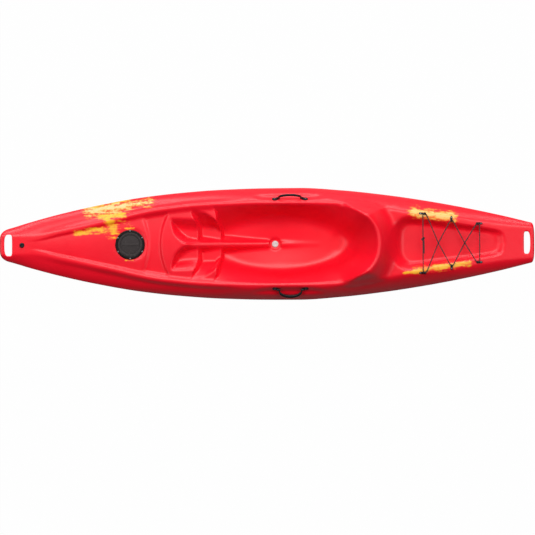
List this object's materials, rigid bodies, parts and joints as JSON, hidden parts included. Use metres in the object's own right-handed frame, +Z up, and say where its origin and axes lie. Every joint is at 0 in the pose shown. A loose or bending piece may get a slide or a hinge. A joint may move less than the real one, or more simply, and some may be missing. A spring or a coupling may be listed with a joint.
{
  "type": "recreational kayak",
  "caption": "Rotomoulded sit-on-top kayak with footwells, seat tub and backrest, screw-in bow hatch, drain plugs, swinging carry handles and a laced tankwell.",
  "frame": {"origin": "on the centre plane, midway between bow and stern, at the underside of the flat keel the boat stands on", "axes": "+X along the boat towards the stern, with the bow at -X; +Y to starboard; +Z up"},
  "size_m": [3.2049, 0.6712, 0.4199],
  "materials": {
    "red_polyethylene": "satin, lightly orange-peeled rotomoulded skin",
    "black_nylon": "satin, moulded",
    "dark_grey_plastic": "fine textured",
    "pale_plastic": "satin",
    "black_rubber": "matte",
    "stainless_steel": "turned",
    "brass": "turned",
    "black_shock_cord": "braided cover over elastic",
    "closed_cell_foam": "closed-cell, matte"
  },
  "bodies": {
    "hull": {"hull_shell": "red_polyethylene", "hatch_ring": "black_nylon", "hatch_gasket": "black_rubber", "bungee_cord": "black_shock_cord", "bungee_knot": "black_shock_cord", "skid_plate": "black_nylon", "seat_foam_block": "closed_cell_foam", "stern_foam_block": "closed_cell_foam", "hatch_screw_1": "stainless_steel", "hatch_screw_2": "stainless_steel", "hatch_screw_3": "stainless_steel", "hatch_screw_4": "stainless_steel", "hatch_screw_5": "stainless_steel", "hatch_screw_6": "stainless_steel", "port_handle_front_screw": "stainless_steel", "port_handle_rear_screw": "stainless_steel", "starboard_handle_front_screw": "stainless_steel", "starboard_handle_rear_screw": "stainless_steel", "port_front_eye_screw": "stainless_steel", "port_middle_eye_screw": "stainless_steel", "port_rear_eye_screw": "stainless_steel", "starboard_front_eye_screw": "stainless_steel", "starboard_middle_eye_screw": "stainless_steel", "starboard_rear_eye_screw": "stainless_steel", "skid_plate_front_screw": "stainless_steel", "skid_plate_rear_screw": "stainless_steel", "port_handle_front_insert": "brass", "port_handle_rear_insert": "brass", "starboard_handle_front_insert": "brass", "starboard_handle_rear_insert": "brass", "bow_drain_plug_insert": "brass", "seat_drain_plug_insert": "brass", "port_handle_front_pad": "black_nylon", "port_handle_rear_pad": "black_nylon", "starboard_handle_front_pad": "black_nylon", "starboard_handle_rear_pad": "black_nylon", "port_front_eye": "black_nylon", "port_middle_eye": "black_nylon", "port_rear_eye": "black_nylon", "starboard_front_eye": "black_nylon", "starboard_middle_eye": "black_nylon", "starboard_rear_eye": "black_nylon"},
    "hatch_seal_carrier": {"hatch_lid_seal": "black_rubber"},
    "hatch_cover": {"hatch_lid": "dark_grey_plastic"},
    "bow_plug_carrier": {"bow_drain_plug_seal": "black_rubber"},
    "bow_plug": {"bow_drain_plug": "black_nylon"},
    "seat_plug_carrier": {"seat_drain_plug_seal": "black_rubber"},
    "seat_plug": {"seat_drain_plug": "pale_plastic"},
    "port_grip": {"port_handle_grip": "black_nylon"},
    "starboard_grip": {"starboard_handle_grip": "black_nylon"}
  },
  "joints": [
    {"name": "hatch_lid_lift", "type": "slide", "parent": "hull", "child": "hatch_seal_carrier", "axis": [0, 0, 1], "range_m": [0, 0.15]},
    {"name": "hatch_lid_turn", "type": "hinge", "parent": "hatch_seal_carrier", "child": "hatch_cover", "pos_m": [-0.822, 0, 0.2625], "axis": [0, 0, 1], "range_deg": [0, 90]},
    {"name": "bow_drain_plug_lift", "type": "slide", "parent": "hull", "child": "bow_plug_carrier", "axis": [0.1883, 0, 0.9821], "range_m": [0, 0.03]},
    {"name": "bow_drain_plug_turn", "type": "hinge", "parent": "bow_plug_carrier", "child": "bow_plug", "pos_m": [-1.47019, 0, 0.31394], "axis": [0.1883, 0, 0.9821], "range_deg": [0, 360]},
    {"name": "seat_drain_plug_lift", "type": "slide", "parent": "hull", "child": "seat_plug_carrier", "axis": [0.0037, 0, 1], "range_m": [0, 0.03]},
    {"name": "seat_drain_plug_turn", "type": "hinge", "parent": "seat_plug_carrier", "child": "seat_plug", "pos_m": [0.048, 0, 0.09155], "axis": [0.0037, 0, 1], "range_deg": [0, 360]},
    {"name": "port_handle_swing", "type": "hinge", "parent": "hull", "child": "port_grip", "pos_m": [0.1377, -0.2764, 0.28247], "axis": [-1, 0, 0], "range_deg": [-10, 120]},
    {"name": "starboard_handle_swing", "type": "hinge", "parent": "hull", "child": "starboard_grip", "pos_m": [0.1377, 0.2764, 0.28247], "axis": [1, 0, 0], "range_deg": [-100, 30]}
  ]
}
